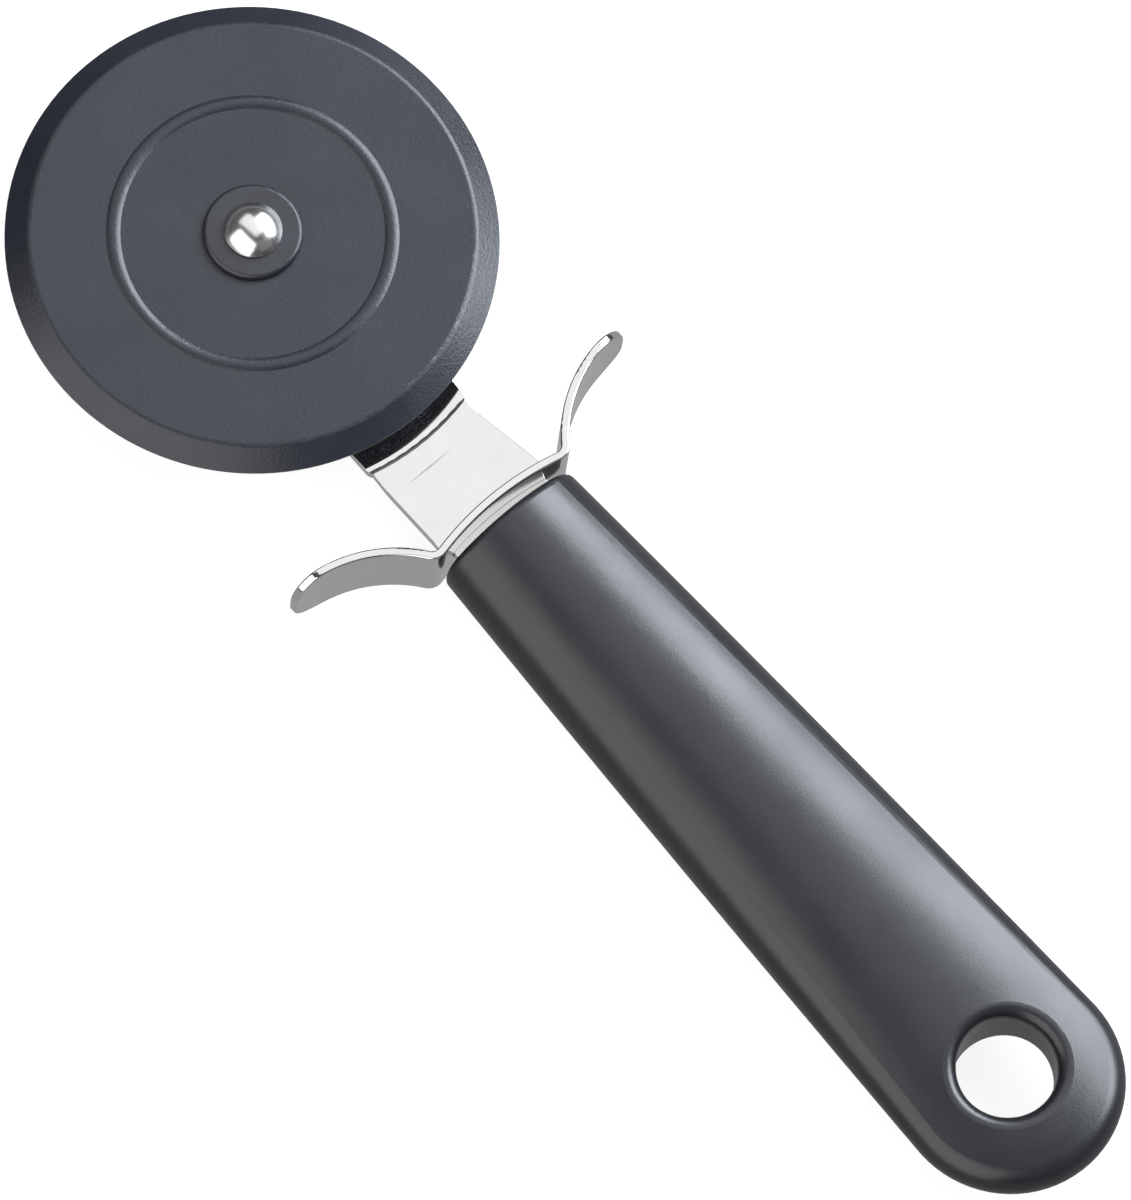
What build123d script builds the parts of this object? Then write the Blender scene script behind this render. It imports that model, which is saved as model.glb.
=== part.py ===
"""Pizza cutter: a moulded wheel on a rivet, a pressed steel arm, a bent finger guard and a moulded handle.

Millimetres. +X runs from the wheel to the end of the handle, +Y to its left side and +Z up out of the
wheel's open face. The origin is the bottom centre of the whole cutter, lying on the handle's belly.
"""

from build123d import *
from math import asin, degrees, radians, sin, sqrt
import os

# Wheel: a moulded disc, bevelled to an edge from both faces
wheel_radius = 32.5
wheel_thickness = 4.6
wheel_bevel_width = 3.1
wheel_edge_land = 0.3
wheel_bevel_blend = 1.2
bead_ring_radius = 18.3
bead_ring_width = 1.9
bead_ring_height = 0.28
rear_hub_radius = 9.0
rear_hub_height = 1.3
rear_hub_blend = 0.8

# Axle rivet: a domed head, a shoulder that carries the wheel, and a tail peened behind the arm
rivet_head_radius = 3.85
rivet_head_height = 2.4
rivet_head_skirt = 0.35
rivet_shoulder_radius = 2.6
rivet_tenon_radius = 2.0
rivet_tail_radius = 3.3
rivet_tail_height = 1.1
running_clearance = 0.06
face_clearance = 0.1
fixed_clearance = 0.05

# Washers on each side of the wheel
front_washer_radius = 6.6
front_washer_thickness = 0.9
front_washer_rounding = 0.6
rear_washer_radius = 5.6
rear_washer_thickness = 1.0
rear_washer_rounding = 0.2

# Arm: one polished strip, pressed down a step round the wheel, then bent up to the tang
arm_thickness = 1.5
pad_top_below_handle_middle = 2.1
pad_width = 16.8
pad_corner_radius = 1.6
step_past_rim = 1.7
step_run = 0.6
step_drop = 0.3
step_bend_radius = 0.9
neck_width = 15.9
neck_flat_length = 1.2
neck_bend_radius = 9.0
shoulder_width = 18.0
shoulder_corner_radius = 0.5
tang_width = 15.8
tang_length = 62.0
tang_taper_length = 22.0
tang_tail_width = 11.0
tang_corner_radius = 3.0
tang_above_handle_middle = 0.4
tang_hole_radius = 2.6
tang_hole_shares = (0.3, 0.62)

# Finger guard: a strip bent into a shallow arch with a curved wing on each side
guard_thickness = 1.2
guard_height = 12.3
guard_span = 57.0
guard_arch_width = 20.2
guard_arch_stand = 2.7
guard_corner_stand = 1.5
guard_bend_radius = 1.6
guard_wing_start_angle = 53.0
guard_wing_end_angle = -4.0
guard_tip_rounding = 5.0
guard_edge_rounding = 0.3
guard_slot_clearance = 0.12

# Handle: an oval moulding that widens and flattens towards a round end with a hanging hole
handle_past_step = 16.7
end_centre_from_front = 98.9
handle_end_radius = 15.2
handle_front_width = 21.8
handle_belly_thickness = 16.0
handle_hole_thickness = 11.0
handle_belly_flat_depth = 0.2
handle_front_rounding = 1.1
hanging_hole_radius = 6.6
hanging_hole_rounding = 1.7
hanging_hole_ahead_of_end = 0.8
# Stations from the front to the end's centre, as shares of the length, of the widening and of the thinning
station_length_shares = (0.0, 0.25, 0.5, 0.75, 1.0)
station_widening_shares = (0.0, 0.29, 0.55, 0.79, 1.0)
station_thinning_shares = (0.0, 0.03, 0.08, 0.43, 1.0)
# The tighter side radius of each oval, as a share of its half thickness
front_side_share = 0.85
hole_side_share = 0.64

# One overrun for cuts and trimmed blanks
overrun = 1.0

# Places along the cutter, and heights over the surface it lies on
step_radius = wheel_radius + step_past_rim
axle_to_handle = step_radius + handle_past_step
overall_length = wheel_radius + axle_to_handle + end_centre_from_front + handle_end_radius
wheel_x = wheel_radius - overall_length / 2
handle_x = wheel_x + axle_to_handle
end_centre_x = handle_x + end_centre_from_front
handle_middle_z = handle_belly_thickness / 2 - handle_belly_flat_depth
pad_top_z = handle_middle_z - pad_top_below_handle_middle
pad_middle_z = pad_top_z - arm_thickness / 2
pad_bottom_z = pad_top_z - arm_thickness
neck_middle_z = pad_middle_z - step_drop
tang_middle_z = handle_middle_z + tang_above_handle_middle
rear_hub_z = pad_top_z + rear_washer_thickness + face_clearance
wheel_rear_z = rear_hub_z + rear_hub_height
wheel_middle_z = wheel_rear_z + wheel_thickness / 2
wheel_front_z = wheel_rear_z + wheel_thickness
front_washer_z = wheel_front_z + face_clearance
rivet_head_z = front_washer_z + front_washer_thickness
shoulder_hole_radius = rivet_shoulder_radius + running_clearance

# The guard's arch is a circle whose middle stands ahead of its corners, and the tang's shoulders meet it
guard_rise = guard_arch_stand - guard_corner_stand
guard_arch_radius = ((guard_arch_width / 2) ** 2 + guard_rise**2) / (2 * guard_rise)
guard_front_radius = guard_arch_radius + guard_thickness / 2
guard_arch_centre_x = handle_x - guard_arch_stand + guard_arch_radius
guard_front_run = sqrt(guard_front_radius**2 - (tang_width / 2) ** 2)
shoulder_x = guard_arch_centre_x - guard_front_run - fixed_clearance
tang_end_x = handle_x + tang_length
tang_hole_places = [(handle_x + tang_length * share, 0) for share in tang_hole_shares]

axle = Axis((wheel_x, 0, 0), (0, 0, 1))
axle_plane = Plane(origin=(wheel_x, 0, 0), x_dir=(1, 0, 0), z_dir=(0, -1, 0))

os.makedirs("parts", exist_ok=True)

# Cutting wheel: one revolved profile with a bead ring on each face and a hub behind
with BuildPart() as cutting_wheel:
    with BuildSketch(axle_plane) as wheel_profile:
        with BuildLine():
            bead_start = bead_ring_radius - bead_ring_width / 2
            bead_end = bead_ring_radius + bead_ring_width / 2
            bevel_start = wheel_radius - wheel_bevel_width
            hub_line = Polyline(
                (bead_start, wheel_rear_z),
                (rear_hub_radius, wheel_rear_z),
                (rear_hub_radius, rear_hub_z),
                (shoulder_hole_radius, rear_hub_z),
                (shoulder_hole_radius, wheel_front_z),
                (bead_start, wheel_front_z),
            )
            front_bead = ThreePointArc(
                hub_line @ 1,
                (bead_ring_radius, wheel_front_z + bead_ring_height),
                (bead_end, wheel_front_z),
            )
            rim_line = Polyline(
                front_bead @ 1,
                (bevel_start, wheel_front_z),
                (wheel_radius, wheel_middle_z + wheel_edge_land / 2),
                (wheel_radius, wheel_middle_z - wheel_edge_land / 2),
                (bevel_start, wheel_rear_z),
                (bead_end, wheel_rear_z),
            )
            ThreePointArc(
                rim_line @ 1,
                (bead_ring_radius, wheel_rear_z - bead_ring_height),
                hub_line @ 0,
            )
        make_face()
        fillet(wheel_profile.vertices().group_by(Axis.X)[-2], wheel_bevel_blend)
    revolve(axis=axle)
    hub_edges = cutting_wheel.edges().filter_by(GeomType.CIRCLE).group_by(Axis.Z)[0]
    fillet(hub_edges.sort_by(SortBy.RADIUS)[-1], rear_hub_blend)

# Washers: a rounded nylon disc under the rivet's head, and a spacer behind the wheel
with BuildPart() as front_washer:
    with BuildSketch(Plane.XY.offset(front_washer_z)):
        with Locations((wheel_x, 0)):
            Circle(front_washer_radius)
            Circle(shoulder_hole_radius, mode=Mode.SUBTRACT)
    extrude(amount=front_washer_thickness)
    front_rims = front_washer.edges().filter_by(GeomType.CIRCLE).group_by(SortBy.RADIUS)[-1]
    fillet(front_rims.sort_by(Axis.Z)[-1], front_washer_rounding)

with BuildPart() as rear_washer:
    with BuildSketch(Plane.XY.offset(pad_top_z)):
        with Locations((wheel_x, 0)):
            Circle(rear_washer_radius)
            Circle(shoulder_hole_radius, mode=Mode.SUBTRACT)
    extrude(amount=rear_washer_thickness)
    rear_rims = rear_washer.edges().filter_by(GeomType.CIRCLE).group_by(SortBy.RADIUS)[-1]
    fillet(rear_rims, rear_washer_rounding)

# Axle rivet: domed head, shoulder through the wheel, tenon through the arm, peened tail
with BuildPart() as axle_rivet:
    with BuildSketch(axle_plane):
        with BuildLine():
            dome_rise = rivet_head_height - rivet_head_skirt
            dome_radius = (rivet_head_radius**2 + dome_rise**2) / (2 * dome_rise)
            tail_sphere_radius = (rivet_tail_radius**2 + rivet_tail_height**2) / (2 * rivet_tail_height)
            head_top = (0, rivet_head_z + rivet_head_height)
            tail_foot = (0, pad_bottom_z - rivet_tail_height)
            dome = RadiusArc(head_top, (rivet_head_radius, rivet_head_z + rivet_head_skirt), dome_radius)
            stem = Polyline(
                dome @ 1,
                (rivet_head_radius, rivet_head_z),
                (rivet_shoulder_radius, rivet_head_z),
                (rivet_shoulder_radius, pad_top_z),
                (rivet_tenon_radius, pad_top_z),
                (rivet_tenon_radius, pad_bottom_z),
                (rivet_tail_radius, pad_bottom_z),
            )
            RadiusArc(stem @ 1, tail_foot, tail_sphere_radius)
            Line(tail_foot, head_top)
        make_face()
    revolve(axis=axle)

# Arm: pad and step are turned round the axle, neck and tang are a bent strip, one outline trims both
with BuildPart() as arm:
    step_end = step_radius + step_run
    neck_reach = step_end + neck_flat_length
    pad_end_x = wheel_x + sqrt(step_radius**2 - (pad_width / 2) ** 2)
    with BuildSketch(axle_plane):
        with BuildLine() as step_line:
            FilletPolyline(
                (0, pad_middle_z),
                (step_radius - step_run / 2, pad_middle_z),
                (step_radius + step_run / 2, neck_middle_z),
                (neck_reach, neck_middle_z),
                radius=step_bend_radius,
            )
        trace(step_line.line, arm_thickness)
    revolve(axis=axle)
    with BuildSketch(Plane.XZ):
        with BuildLine() as strip_line:
            FilletPolyline(
                (wheel_x + step_end, neck_middle_z),
                (wheel_x + neck_reach + neck_flat_length / 2, neck_middle_z),
                (shoulder_x - neck_flat_length / 2, tang_middle_z),
                (tang_end_x, tang_middle_z),
                radius=neck_bend_radius,
            )
        trace(strip_line.line, arm_thickness)
    extrude(amount=pad_width, both=True)
    with BuildSketch() as arm_outline:
        with BuildLine():
            edge = FilletPolyline(
                (wheel_x, pad_width / 2),
                (pad_end_x, pad_width / 2),
                (pad_end_x + step_run, neck_width / 2),
                (shoulder_x, shoulder_width / 2),
                (shoulder_x, tang_width / 2),
                (tang_end_x - tang_taper_length, tang_width / 2),
                (tang_end_x, tang_tail_width / 2),
                (tang_end_x, 0),
                radius=(pad_corner_radius, 0, shoulder_corner_radius, 0, 0, tang_corner_radius),
            )
            mirror(edge, about=Plane.XZ)
            ThreePointArc(
                (wheel_x, pad_width / 2),
                (wheel_x - pad_width / 2, 0),
                (wheel_x, -pad_width / 2),
            )
        make_face()
        with Locations((wheel_x, 0)):
            Circle(rivet_tenon_radius + fixed_clearance, mode=Mode.SUBTRACT)
        with Locations(*tang_hole_places):
            Circle(tang_hole_radius, mode=Mode.SUBTRACT)
    extrude(amount=handle_belly_thickness, mode=Mode.INTERSECT)

# Finger guard: the bent strip is traced from above, its tips and edges are rounded and the tang's slot is cut
with BuildPart() as finger_guard:
    arch_angle = degrees(asin(guard_arch_width / 2 / guard_arch_radius))
    start_lean = sin(radians(guard_wing_start_angle))
    end_lean = sin(radians(guard_wing_end_angle))
    bend_end_y = guard_arch_width / 2 + guard_bend_radius * (start_lean + sin(radians(arch_angle)))
    wing_radius = (guard_span / 2 - bend_end_y) / (start_lean - end_lean)
    with BuildSketch(Plane.XY.offset(handle_middle_z - guard_height / 2)):
        with BuildLine() as guard_line:
            arch = JernArc((handle_x - guard_arch_stand, 0), (0, 1), guard_arch_radius, -arch_angle)
            bend = JernArc(arch @ 1, arch % 1, guard_bend_radius, arch_angle + guard_wing_start_angle)
            wing = JernArc(bend @ 1, bend % 1, wing_radius, guard_wing_end_angle - guard_wing_start_angle)
            mirror((arch, bend, wing), about=Plane.XZ)
        trace(guard_line.line, guard_thickness)
    extrude(amount=guard_height)
    tips = finger_guard.faces().sort_by(Axis.Y)
    tip_edges = tips[0].edges() + tips[-1].edges()
    fillet(tip_edges.filter_by(Axis.Z, reverse=True), guard_tip_rounding)
    rims = finger_guard.faces().sort_by(Axis.Z)
    rim_edges = rims[0].edges() + rims[-1].edges()
    fillet(rim_edges.filter_by(GeomType.CIRCLE), guard_edge_rounding)
    with BuildSketch(Plane.YZ.offset(handle_x)):
        with Locations((0, tang_middle_z)):
            Rectangle(tang_width + 2 * guard_slot_clearance, arm_thickness + 2 * guard_slot_clearance)
    extrude(amount=-guard_arch_stand - guard_thickness - overrun, mode=Mode.SUBTRACT)

# Handle: a loft through ovals, its last oval turned into a round end, the belly trimmed to a narrow flat
# where the cutter lies, then the hole and the tang's cavity
with BuildPart() as handle:
    for along, widening, thinning in zip(
        station_length_shares, station_widening_shares, station_thinning_shares
    ):
        wide = (1 - widening) * handle_front_width / 2 + widening * handle_end_radius
        thick = ((1 - thinning) * handle_belly_thickness + thinning * handle_hole_thickness) / 2
        side = thick * ((1 - along) * front_side_share + along * hole_side_share)
        crown = ((wide - side) ** 2 + thick**2 - side**2) / (2 * (thick - side))
        touch_y = crown * (wide - side) / (crown - side)
        touch_z = side * (crown - thick) / (crown - side)
        station_x = handle_x + end_centre_from_front * along
        with BuildSketch(Plane((station_x, 0, handle_middle_z), (0, 1, 0), (1, 0, 0))) as oval:
            with BuildLine():
                ThreePointArc((touch_y, -touch_z), (wide, 0), (touch_y, touch_z))
                ThreePointArc((touch_y, touch_z), (0, thick), (-touch_y, touch_z))
                ThreePointArc((-touch_y, touch_z), (-wide, 0), (-touch_y, -touch_z))
                ThreePointArc((-touch_y, -touch_z), (0, -thick), (touch_y, -touch_z))
            make_face()
    loft()
    half_oval = split(oval.sketch, bisect_by=Plane.XZ, keep=Keep.BOTTOM, mode=Mode.PRIVATE)
    revolve(half_oval.faces(), axis=Axis((end_centre_x, 0, 0), (0, 0, 1)), revolution_arc=-180)
    fillet(handle.faces().sort_by(Axis.X)[0].edges(), handle_front_rounding)
    split(bisect_by=Plane.XY, keep=Keep.TOP)
    with Locations((end_centre_x - hanging_hole_ahead_of_end, 0, handle_middle_z)):
        Hole(hanging_hole_radius)
    hole_wall = handle.faces().filter_by(GeomType.CYLINDER)
    fillet(hole_wall.edges().filter_by(GeomType.LINE, reverse=True), hanging_hole_rounding)
    cavity_z = tang_middle_z - arm_thickness / 2 - fixed_clearance
    cavity_height = arm_thickness + 2 * fixed_clearance
    with BuildSketch(Plane.XY.offset(cavity_z)) as cavity:
        with BuildLine():
            cavity_edge = FilletPolyline(
                (handle_x - overrun, tang_width / 2),
                (tang_end_x - tang_taper_length, tang_width / 2),
                (tang_end_x, tang_tail_width / 2),
                (tang_end_x, 0),
                radius=(0, tang_corner_radius),
            )
            mirror(cavity_edge, about=Plane.XZ)
            Line((handle_x - overrun, -tang_width / 2), (handle_x - overrun, tang_width / 2))
        make_face()
        offset(amount=fixed_clearance)
        with Locations(*tang_hole_places):
            Circle(tang_hole_radius - fixed_clearance, mode=Mode.SUBTRACT)
    extrude(amount=cavity_height, mode=Mode.SUBTRACT)

# Each piece is written by its own name
pieces = {
    "cutting_wheel": cutting_wheel,
    "front_washer": front_washer,
    "rear_washer": rear_washer,
    "axle_rivet": axle_rivet,
    "arm": arm,
    "finger_guard": finger_guard,
    "handle": handle,
}
for name, piece in pieces.items():
    piece.part.label = name
    export_step(piece.part, f"parts/{name}.step")
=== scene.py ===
"""Looks of the pizza cutter: its finishes, the studio round it and the camera, on the packed frame."""

import math

import bpy
from mathutils import Matrix, Vector

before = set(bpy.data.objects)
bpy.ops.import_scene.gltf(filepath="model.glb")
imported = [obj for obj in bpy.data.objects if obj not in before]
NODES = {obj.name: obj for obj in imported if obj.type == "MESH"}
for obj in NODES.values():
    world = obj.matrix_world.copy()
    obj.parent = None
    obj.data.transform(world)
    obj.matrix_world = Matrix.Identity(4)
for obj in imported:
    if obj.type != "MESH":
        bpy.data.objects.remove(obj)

bl_info = {
    "name": "Pizza cutter looks",
    "version": (1, 0, 0),
    "blender": (4, 5, 0),
    "location": "View3D > Sidebar > Cutter",
    "description": "Dresses the pizza cutter's pieces and sets up its studio",
    "category": "Object",
}

MM = 0.001

# Moulded plastics: how far tone and gloss wander, and what rubbing does to an edge
TONE_SPREAD = 0.16
GLOSS_SPREAD = 0.04
WASHER_ROUGHNESS = 0.35
PLASTIC_IOR = 1.53
RUBBED_WIDTH = 0.3 * MM
RUBBED_GAIN = 1.7
RUBBED_LIFT = 0.006
RUBBED_SMOOTHER = 0.06
# Cosines of the surface's turn within that width, where rubbing starts and where it is full
TURN_STARTS = 0.98
TURN_FULL = 0.8
# The line of the mould's halves
SEAM_HALF_WIDTH = 0.16 * MM
SEAM_RIDGE = 0.03 * MM

# Buffed steel: the marks, the haze of the buffing compound, and how far gloss and tint wander
MARK_SPACING = MM / 9
MARK_LENGTH = 4 * MM
MARK_SHARE = 0.6
HAZE_SIZE = 4 * MM
STEEL_GLOSS_SPREAD = 0.3
STEEL_TINT_SPREAD = 0.05

# Studio: the floor's reach and drop, its white for the camera, its grey in the steel, and the room's own light
FLOOR_REACH = 3.0
FLOOR_DROP = 0.0002
FLOOR_WHITE = 0.86
FLOOR_IN_STEEL = 0.42
ROOM_LIGHT = 0.1
# Each lamp's name, where it stands from the cutter, distance, width and height in metres, radiance and colour
LAMPS = (
    ("key lamp", (0.09, 0.80, 0.59), 0.9, 1.12, 0.55, 12.0, (0.87, 0.93, 1.0)),
    ("top lamp", (-0.32, 0.19, 0.93), 1.1, 1.8, 0.88, 1.2, (1, 1, 1)),
    ("fill lamp", (0.05, -0.83, 0.56), 0.9, 1.5, 1.0, 2.2, (1, 1, 1)),
    ("end lamp", (0.82, 0.12, 0.50), 0.9, 0.7, 0.8, 0.15, (1, 1, 1)),
)
LAMP_AIM = Vector((0, 0, 10)) * MM
CAMERA_AIM = Vector((-2.64, -0.81, 8.0)) * MM


def linear(hex_colour):
    """An sRGB hex colour as linear red, green and blue."""
    shares = [int(hex_colour[i : i + 2], 16) / 255 for i in (1, 3, 5)]
    return tuple(s / 12.92 if s <= 0.04045 else ((s + 0.055) / 1.055) ** 2.4 for s in shares)


def add_node(tree, kind, inputs=None, **settings):
    """One shader node with its settings. An input that is a socket is linked, any other value is set."""
    made = tree.nodes.new(kind)
    for name, value in settings.items():
        setattr(made, name, value)
    for name, value in (inputs or {}).items():
        if isinstance(value, bpy.types.NodeSocket):
            tree.links.new(value, made.inputs[name])
        else:
            made.inputs[name].default_value = value
    return made


def new_material(name, colour):
    """A material with an empty tree and its output node."""
    material = bpy.data.materials.new(name)
    material.use_nodes = True
    material.diffuse_color = (*colour, 1)
    tree = material.node_tree
    tree.nodes.clear()
    return material, tree, add_node(tree, "ShaderNodeOutputMaterial")


def give(material, *names):
    """Puts the material on these CAD pieces."""
    for name in names:
        mesh = NODES[name].data
        mesh.materials.clear()
        mesh.materials.append(material)


class CutterWheel(bpy.types.PropertyGroup):
    """Wheel and washers."""

    colour: bpy.props.FloatVectorProperty(
        name="Wheel colour", description="Colour of the moulded nylon", subtype="COLOR",
        size=3, min=0, max=1, default=linear("#11151E"),
    )
    roughness: bpy.props.FloatProperty(
        name="Wheel roughness", description="Gloss of the moulded nylon, 1 is matt", default=0.37, min=0, max=1,
    )
    grain: bpy.props.FloatProperty(
        name="Grain size", description="Width of one grain of the mould's texture", default=0.45 * MM,
        min=0.02 * MM, max=2 * MM, unit="LENGTH", precision=5,
    )
    grain_depth: bpy.props.FloatProperty(
        name="Grain depth", description="Depth of the mould's texture", default=0.035 * MM,
        min=0, max=0.1 * MM, unit="LENGTH", precision=6,
    )
    washer_colour: bpy.props.FloatVectorProperty(
        name="Washer colour", description="Colour of the nylon washers", subtype="COLOR",
        size=3, min=0, max=1, default=linear("#1A1C23"),
    )


class CutterSteel(bpy.types.PropertyGroup):
    """Rivet, arm and guard."""

    colour: bpy.props.FloatVectorProperty(
        name="Steel colour", description="Colour of the polished stainless steel", subtype="COLOR",
        size=3, min=0, max=1, default=linear("#D4D3D2"),
    )
    rivet_roughness: bpy.props.FloatProperty(
        name="Rivet roughness", description="Gloss of the rivet's head", default=0.22, min=0, max=1,
    )
    arm_roughness: bpy.props.FloatProperty(
        name="Arm roughness", description="Gloss of the arm", default=0.07, min=0, max=1,
    )
    guard_roughness: bpy.props.FloatProperty(
        name="Guard roughness", description="Gloss of the finger guard", default=0.08, min=0, max=1,
    )


class CutterHandle(bpy.types.PropertyGroup):
    """Handle."""

    colour: bpy.props.FloatVectorProperty(
        name="Handle colour", description="Colour of the moulded polypropylene", subtype="COLOR",
        size=3, min=0, max=1, default=linear("#16171B"),
    )
    roughness: bpy.props.FloatProperty(
        name="Handle roughness", description="Gloss of the satin moulding, 1 is matt", default=0.34, min=0, max=1,
    )
    grain: bpy.props.FloatProperty(
        name="Grain size", description="Width of one grain of the satin texture", default=0.35 * MM,
        min=0.02 * MM, max=2 * MM, unit="LENGTH", precision=5,
    )
    grain_depth: bpy.props.FloatProperty(
        name="Grain depth", description="Depth of the satin texture", default=0.014 * MM,
        min=0, max=0.1 * MM, unit="LENGTH", precision=6,
    )
    seam_height: bpy.props.FloatProperty(
        name="Mould line height", description="Height of the line left by the mould's halves", default=7.8 * MM,
        min=0, max=16 * MM, unit="LENGTH", precision=5,
    )


class CutterStudio(bpy.types.PropertyGroup):
    """Floor, lamps and camera."""

    floor_colour: bpy.props.FloatVectorProperty(
        name="Floor colour", description="Colour of the pale floor", subtype="COLOR",
        size=3, min=0, max=1, default=linear("#858687"),
    )
    turn: bpy.props.FloatProperty(
        name="Camera turn", description="Turn of the camera round the cutter, from +X towards +Y",
        default=math.radians(-50.06), subtype="ANGLE", unit="ROTATION",
    )
    height: bpy.props.FloatProperty(
        name="Camera height", description="Angle of the camera over the floor",
        default=math.radians(71.4), min=0, max=math.radians(90), subtype="ANGLE", unit="ROTATION",
    )
    roll: bpy.props.FloatProperty(
        name="Camera roll", description="Roll of the camera about its own axis",
        default=math.radians(-9.35), subtype="ANGLE", unit="ROTATION",
    )
    distance: bpy.props.FloatProperty(
        name="Camera distance", description="From the camera to the middle of the cutter", default=1.871,
        min=0.3, max=5, unit="LENGTH",
    )
    lens: bpy.props.FloatProperty(
        name="Lens", description="Focal length in millimetres", default=430.3, min=20, max=800, subtype="NONE",
    )


def shades(colour, spread):
    """The darker and the paler colour that a mix goes between, this share under and over the colour."""
    return {"A": (*((1 - spread) * c for c in colour), 1), "B": (*((1 + spread) * c for c in colour), 1)}


def turn_mask(tree, width):
    """How sharply the surface turns within this width: 0 on the flat and 1 at an edge."""
    rounded = add_node(tree, "ShaderNodeBevel", {"Radius": width}, samples=4)
    true = add_node(tree, "ShaderNodeNewGeometry")
    turned = add_node(
        tree, "ShaderNodeVectorMath", {0: rounded.outputs["Normal"], 1: true.outputs["Normal"]},
        operation="DOT_PRODUCT",
    )
    return add_node(
        tree, "ShaderNodeMapRange",
        {"Value": turned.outputs["Value"], "From Min": TURN_STARTS, "From Max": TURN_FULL,
         "To Min": 0.0, "To Max": 1.0},
    ).outputs["Result"]


def moulded_plastic(name, colour, roughness, grain, depth, cloud, seam_z=None):
    """A dark thermoplastic with the grain of its mould, mottled a little where it cooled, rubbed at its edges."""
    material, tree, output = new_material(name, colour)
    place = add_node(tree, "ShaderNodeTexCoord").outputs["Object"]
    # The mould's spark-eroded grain gives the eye a fine sparkle in the highlights and a satin gloss. Real grains
    # are about 0.1 mm wide, too fine to show here, so they are drawn three to four times coarser
    fine = add_node(
        tree, "ShaderNodeTexNoise", {"Vector": place, "Scale": 1 / grain, "Detail": 2.0, "Roughness": 0.6}
    )
    # Slow changes of gloss and tone over some millimetres, as the melt cooled against the mould
    broad = add_node(
        tree, "ShaderNodeTexNoise", {"Vector": place, "Scale": 1 / cloud, "Detail": 3.0, "Roughness": 0.55}
    )
    edge = turn_mask(tree, RUBBED_WIDTH)
    tone = add_node(
        tree, "ShaderNodeMath", {0: fine.outputs["Fac"], 1: 0.5, 2: broad.outputs["Fac"]}, operation="MULTIPLY_ADD"
    )
    mottled = add_node(
        tree, "ShaderNodeMix", {"Factor": tone.outputs["Value"], **shades(colour, TONE_SPREAD)}, data_type="RGBA"
    )
    rubbed = add_node(
        tree, "ShaderNodeMix",
        {"Factor": edge, "A": mottled.outputs["Result"],
         "B": (*(min(1.0, RUBBED_GAIN * c + RUBBED_LIFT) for c in colour), 1)},
        data_type="RGBA",
    )
    gloss = add_node(
        tree, "ShaderNodeMapRange",
        {"Value": broad.outputs["Fac"], "From Min": 0.3, "From Max": 0.7,
         "To Min": roughness - GLOSS_SPREAD, "To Max": roughness + GLOSS_SPREAD},
    )
    smooth = add_node(
        tree, "ShaderNodeMath", {0: edge, 1: -RUBBED_SMOOTHER, 2: gloss.outputs["Result"]}, operation="MULTIPLY_ADD"
    )
    bump = add_node(
        tree, "ShaderNodeBump", {"Height": fine.outputs["Fac"], "Strength": 1.0, "Distance": depth}
    )
    if seam_z is not None:
        # The line that the mould's two halves leave, a ridge a few hundredths of a millimetre high
        height = add_node(tree, "ShaderNodeSeparateXYZ", {"Vector": place})
        beside = add_node(tree, "ShaderNodeMath", {0: height.outputs["Z"], 1: seam_z}, operation="SUBTRACT")
        away = add_node(tree, "ShaderNodeMath", {0: beside.outputs["Value"]}, operation="ABSOLUTE")
        ridge = add_node(
            tree, "ShaderNodeMapRange",
            {"Value": away.outputs["Value"], "From Min": 0.0, "From Max": SEAM_HALF_WIDTH,
             "To Min": 1.0, "To Max": 0.0},
        )
        bump = add_node(
            tree, "ShaderNodeBump",
            {"Height": ridge.outputs["Result"], "Strength": 1.0, "Distance": SEAM_RIDGE,
             "Normal": bump.outputs["Normal"]},
        )
    shader = add_node(
        tree, "ShaderNodeBsdfPrincipled",
        {"Base Color": rubbed.outputs["Result"], "Roughness": smooth.outputs["Value"], "IOR": PLASTIC_IOR,
         "Normal": bump.outputs["Normal"]},
    )
    tree.links.new(shader.outputs["BSDF"], output.inputs["Surface"])
    return material


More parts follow.
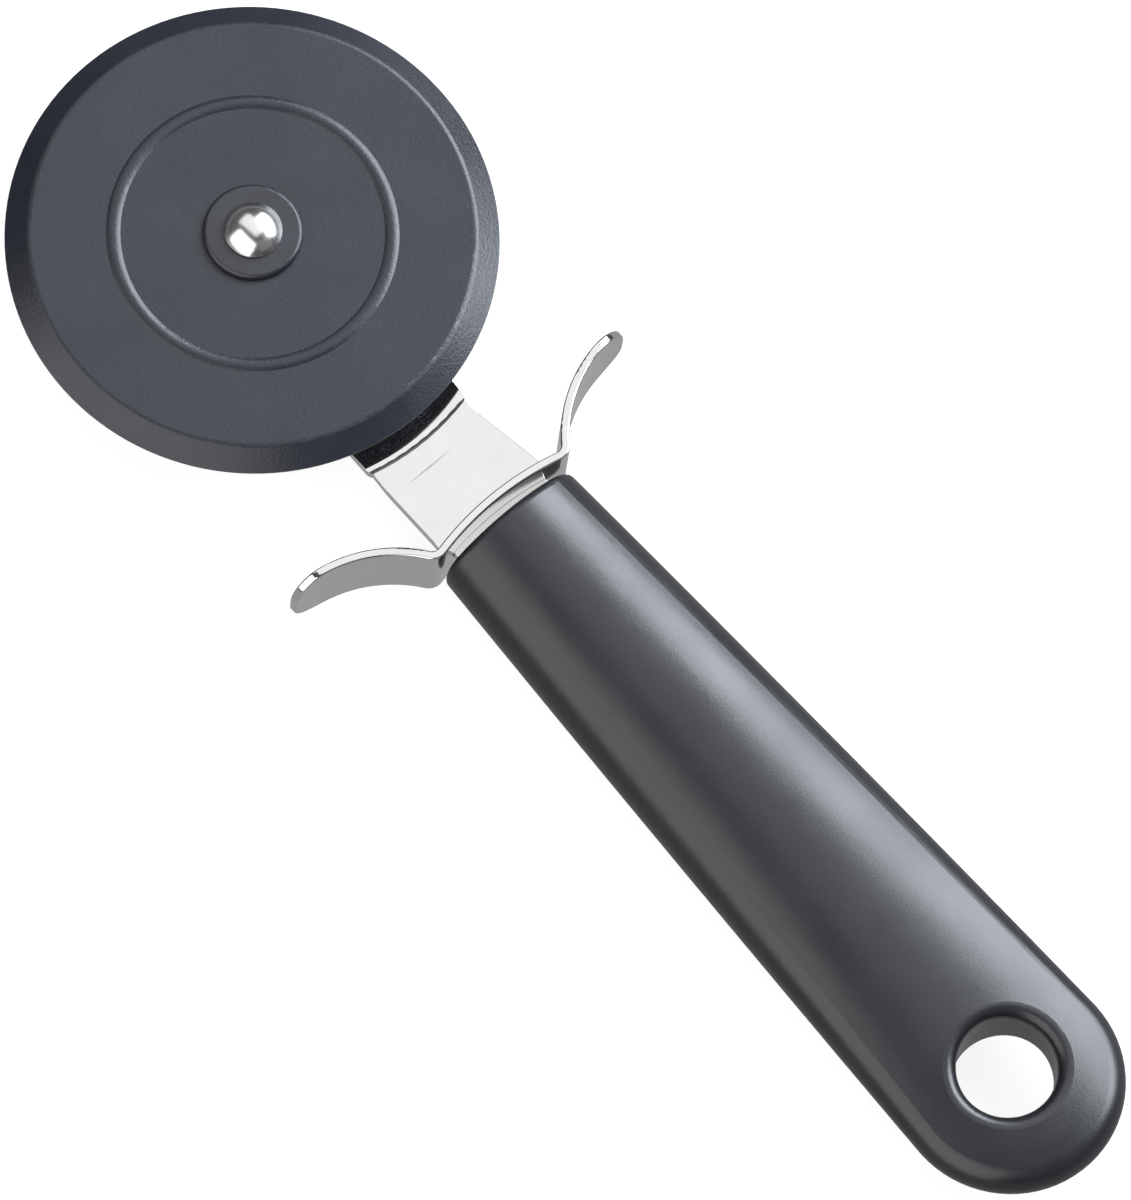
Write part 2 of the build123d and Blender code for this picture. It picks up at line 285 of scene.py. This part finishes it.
def polished_steel(name, colour, roughness, marks_along, depth, softened=0.0):
    """Stainless steel, buffed on a soft wheel: a near mirror with faint marks along it, and softened edges if asked."""
    material, tree, output = new_material(name, colour)
    place = add_node(tree, "ShaderNodeTexCoord").outputs["Object"]
    # Buffing marks about 0.1 mm apart, drawn some ten times coarser than real so that they show
    stretch = [1 / (MARK_LENGTH if axis == marks_along else MARK_SPACING) for axis in "XYZ"]
    along = add_node(tree, "ShaderNodeMapping", {"Vector": place, "Scale": stretch})
    marks = add_node(
        tree, "ShaderNodeTexNoise", {"Vector": along.outputs["Vector"], "Scale": 1.0, "Detail": 2.0}
    )
    haze = add_node(tree, "ShaderNodeTexNoise", {"Vector": place, "Scale": 1 / HAZE_SIZE, "Detail": 3.0})
    mixed = add_node(
        tree, "ShaderNodeMath", {0: marks.outputs["Fac"], 1: MARK_SHARE, 2: haze.outputs["Fac"]},
        operation="MULTIPLY_ADD",
    )
    gloss = add_node(
        tree, "ShaderNodeMapRange",
        {"Value": mixed.outputs["Value"], "From Min": 0.5, "From Max": 1.1,
         "To Min": roughness * (1 - STEEL_GLOSS_SPREAD), "To Max": roughness * (1 + STEEL_GLOSS_SPREAD)},
    )
    tint = add_node(
        tree, "ShaderNodeMix", {"Factor": haze.outputs["Fac"], **shades(colour, STEEL_TINT_SPREAD)}, data_type="RGBA"
    )
    bump = add_node(
        tree, "ShaderNodeBump", {"Height": marks.outputs["Fac"], "Strength": 1.0, "Distance": depth}
    )
    if softened:
        rounded = add_node(tree, "ShaderNodeBevel", {"Radius": softened}, samples=6)
        tree.links.new(rounded.outputs["Normal"], bump.inputs["Normal"])
    shader = add_node(
        tree, "ShaderNodeBsdfPrincipled",
        {"Base Color": tint.outputs["Result"], "Metallic": 1.0, "Roughness": gloss.outputs["Result"],
         "Normal": bump.outputs["Normal"]},
    )
    tree.links.new(shader.outputs["BSDF"], output.inputs["Surface"])
    return material


class CUTTER_OT_wheel(bpy.types.Operator):
    """Dress the cutting wheel as moulded nylon"""

    bl_idname = "cutter.wheel"
    bl_label = "Wheel"

    def execute(self, context):
        look = context.scene.cutter_wheel
        # Blue-black nylon, stiffened with glass and moulded in a textured tool: a low satin sheen, paler at its rims
        give(
            moulded_plastic("Moulded glass-filled nylon", tuple(look.colour), look.roughness, look.grain,
                            look.grain_depth, 12 * MM),
            "cutting_wheel",
        )
        return {"FINISHED"}


class CUTTER_OT_washers(bpy.types.Operator):
    """Dress both washers as smooth nylon"""

    bl_idname = "cutter.washers"
    bl_label = "Washers"

    def execute(self, context):
        look = context.scene.cutter_wheel
        # Plain nylon from a smoother mould: a little duller and darker than the wheel, with a softly lit rim
        give(
            moulded_plastic("Moulded nylon washer", tuple(look.washer_colour), WASHER_ROUGHNESS, look.grain,
                            look.grain_depth / 2, 5 * MM),
            "front_washer", "rear_washer",
        )
        return {"FINISHED"}


class CUTTER_OT_rivet(bpy.types.Operator):
    """Dress the rivet as headed and polished steel"""

    bl_idname = "cutter.rivet"
    bl_label = "Rivet"

    def execute(self, context):
        look = context.scene.cutter_steel
        # Cold-headed and tumbled: a soft mirror whose dome shows the lamps as rounded patches
        give(
            polished_steel("Headed stainless rivet", tuple(look.colour), look.rivet_roughness, "Z", 0.0001 * MM),
            "axle_rivet",
        )
        return {"FINISHED"}


class CUTTER_OT_arm(bpy.types.Operator):
    """Dress the arm as polished strip"""

    bl_idname = "cutter.arm"
    bl_label = "Arm"

    def execute(self, context):
        look = context.scene.cutter_steel
        # Buffed after pressing: a near mirror, white where it shows the room and black where it shows the wheel
        give(
            polished_steel("Polished stainless arm", tuple(look.colour), look.arm_roughness, "X",
                           0.00005 * MM, 0.12 * MM),
            "arm",
        )
        return {"FINISHED"}


class CUTTER_OT_guard(bpy.types.Operator):
    """Dress the finger guard as polished strip"""

    bl_idname = "cutter.guard"
    bl_label = "Finger guard"

    def execute(self, context):
        look = context.scene.cutter_steel
        # Buffed after bending: its curved wings stretch the reflections into long bands
        give(
            polished_steel("Polished stainless guard", tuple(look.colour), look.guard_roughness, "Y", 0.00005 * MM),
            "finger_guard",
        )
        return {"FINISHED"}


class CUTTER_OT_handle(bpy.types.Operator):
    """Dress the handle as satin polypropylene"""

    bl_idname = "cutter.handle"
    bl_label = "Handle"

    def execute(self, context):
        look = context.scene.cutter_handle
        # Charcoal polypropylene from a finely blasted mould: a broad, soft highlight along its rounded side
        give(
            moulded_plastic("Moulded satin polypropylene", tuple(look.colour), look.roughness, look.grain,
                            look.grain_depth, 15 * MM, seam_z=look.seam_height),
            "handle",
        )
        return {"FINISHED"}


def softbox(name, toward, distance, width, height, radiance, colour):
    """A rectangular soft lamp that stands that way from the cutter and faces it, its width along the cutter."""
    lamp = bpy.data.lights.new(name, "AREA")
    lamp.shape = "RECTANGLE"
    lamp.size = width
    lamp.size_y = height
    lamp.energy = radiance * math.pi * width * height
    lamp.color = colour
    stand = bpy.data.objects.new(name, lamp)
    away = Vector(toward).normalized()
    level = (Vector((1, 0, 0)) - away * away.x).normalized()
    turn = Matrix((level, away.cross(level), away)).transposed()
    stand.matrix_world = Matrix.Translation(LAMP_AIM + away * distance) @ turn.to_4x4()
    bpy.context.scene.collection.objects.link(stand)


class CUTTER_OT_stage(bpy.types.Operator):
    """Set up the pale floor, the soft lamps, the world and the camera"""

    bl_idname = "cutter.stage"
    bl_label = "Studio"

    def execute(self, context):
        scene = context.scene
        look = scene.cutter_studio
        scene.view_settings.view_transform = "Standard"

        mesh = bpy.data.meshes.new("floor")
        corners = [(x * FLOOR_REACH, y * FLOOR_REACH, 0) for x, y in ((-1, -1), (1, -1), (1, 1), (-1, 1))]
        mesh.from_pydata(corners, [], [(0, 1, 2, 3)])
        floor = bpy.data.objects.new("floor", mesh)
        floor.location.z = -FLOOR_DROP
        scene.collection.objects.link(floor)
        # Matt painted board: it takes a faint shadow, shows white to the camera and pale grey in the steel
        material, tree, output = new_material("Matt pale floor", tuple(look.floor_colour))
        path = add_node(tree, "ShaderNodeLightPath")
        matt = add_node(tree, "ShaderNodeBsdfDiffuse", {"Color": (*look.floor_colour, 1)})
        lift = add_node(
            tree, "ShaderNodeEmission",
            {"Color": (FLOOR_WHITE, FLOOR_WHITE, FLOOR_WHITE, 1), "Strength": path.outputs["Is Camera Ray"]},
        )
        seen = add_node(tree, "ShaderNodeAddShader", {0: matt.outputs[0], 1: lift.outputs[0]})
        mirrored = add_node(tree, "ShaderNodeEmission", {"Color": (1, 1, 1, 1), "Strength": FLOOR_IN_STEEL})
        total = add_node(
            tree, "ShaderNodeMixShader",
            {"Fac": path.outputs["Is Glossy Ray"], 1: seen.outputs[0], 2: mirrored.outputs[0]},
        )
        tree.links.new(total.outputs[0], output.inputs["Surface"])
        mesh.materials.append(material)

        world = bpy.data.worlds.new("studio")
        scene.world = world
        world.use_nodes = True
        tree = world.node_tree
        tree.nodes.clear()
        output = add_node(tree, "ShaderNodeOutputWorld")
        seen = add_node(tree, "ShaderNodeLightPath").outputs["Is Camera Ray"]
        white = add_node(tree, "ShaderNodeBackground", {"Color": (1, 1, 1, 1), "Strength": 1.0})
        room = add_node(tree, "ShaderNodeBackground", {"Color": (1, 1, 1, 1), "Strength": ROOM_LIGHT})
        both = add_node(tree, "ShaderNodeMixShader", {"Fac": seen, 1: room.outputs[0], 2: white.outputs[0]})
        tree.links.new(both.outputs[0], output.inputs["Surface"])

        for lamp in LAMPS:
            softbox(*lamp)

        camera = bpy.data.cameras.new("camera")
        camera.lens = look.lens
        camera.sensor_width = 36
        camera.clip_start = 0.05
        camera.clip_end = 20
        eye = bpy.data.objects.new("camera", camera)
        scene.collection.objects.link(eye)
        back = Vector(
            (math.cos(look.height) * math.cos(look.turn), math.cos(look.height) * math.sin(look.turn),
             math.sin(look.height))
        )
        level = Vector((0, 0, 1)).cross(back).normalized()
        right = Matrix.Rotation(-look.roll, 3, back) @ level
        turn = Matrix((right, back.cross(right), back)).transposed()
        eye.matrix_world = Matrix.Translation(CAMERA_AIM + back * look.distance) @ turn.to_4x4()
        scene.camera = eye
        return {"FINISHED"}


class CUTTER_PT_panel(bpy.types.Panel):
    """The cutter's pieces and studio in the sidebar."""

    bl_label = "Pizza cutter"
    bl_idname = "CUTTER_PT_panel"
    bl_space_type = "VIEW_3D"
    bl_region_type = "UI"
    bl_category = "Cutter"

    def draw(self, context):
        for group in GROUPS:
            settings = getattr(context.scene, group)
            box = self.layout.box()
            box.label(text=settings.__doc__)
            for name in settings.bl_rna.properties.keys():
                if name not in {"rna_type", "name"}:
                    box.prop(settings, name)
        for operator in OPERATORS:
            self.layout.operator(operator.bl_idname)


GROUPS = {
    "cutter_wheel": CutterWheel,
    "cutter_steel": CutterSteel,
    "cutter_handle": CutterHandle,
    "cutter_studio": CutterStudio,
}
OPERATORS = (
    CUTTER_OT_wheel, CUTTER_OT_washers, CUTTER_OT_rivet, CUTTER_OT_arm, CUTTER_OT_guard, CUTTER_OT_handle,
    CUTTER_OT_stage,
)


def register():
    for each in (*GROUPS.values(), *OPERATORS, CUTTER_PT_panel):
        bpy.utils.register_class(each)
    for name, group in GROUPS.items():
        setattr(bpy.types.Scene, name, bpy.props.PointerProperty(type=group))


def unregister():
    for name in GROUPS:
        delattr(bpy.types.Scene, name)
    for each in reversed((*GROUPS.values(), *OPERATORS, CUTTER_PT_panel)):
        bpy.utils.unregister_class(each)


def main():
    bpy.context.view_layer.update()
    register()
    bpy.ops.cutter.wheel()
    bpy.ops.cutter.washers()
    bpy.ops.cutter.rivet()
    bpy.ops.cutter.arm()
    bpy.ops.cutter.guard()
    bpy.ops.cutter.handle()
    bpy.ops.cutter.stage()


if __name__ == "__main__":
    main()
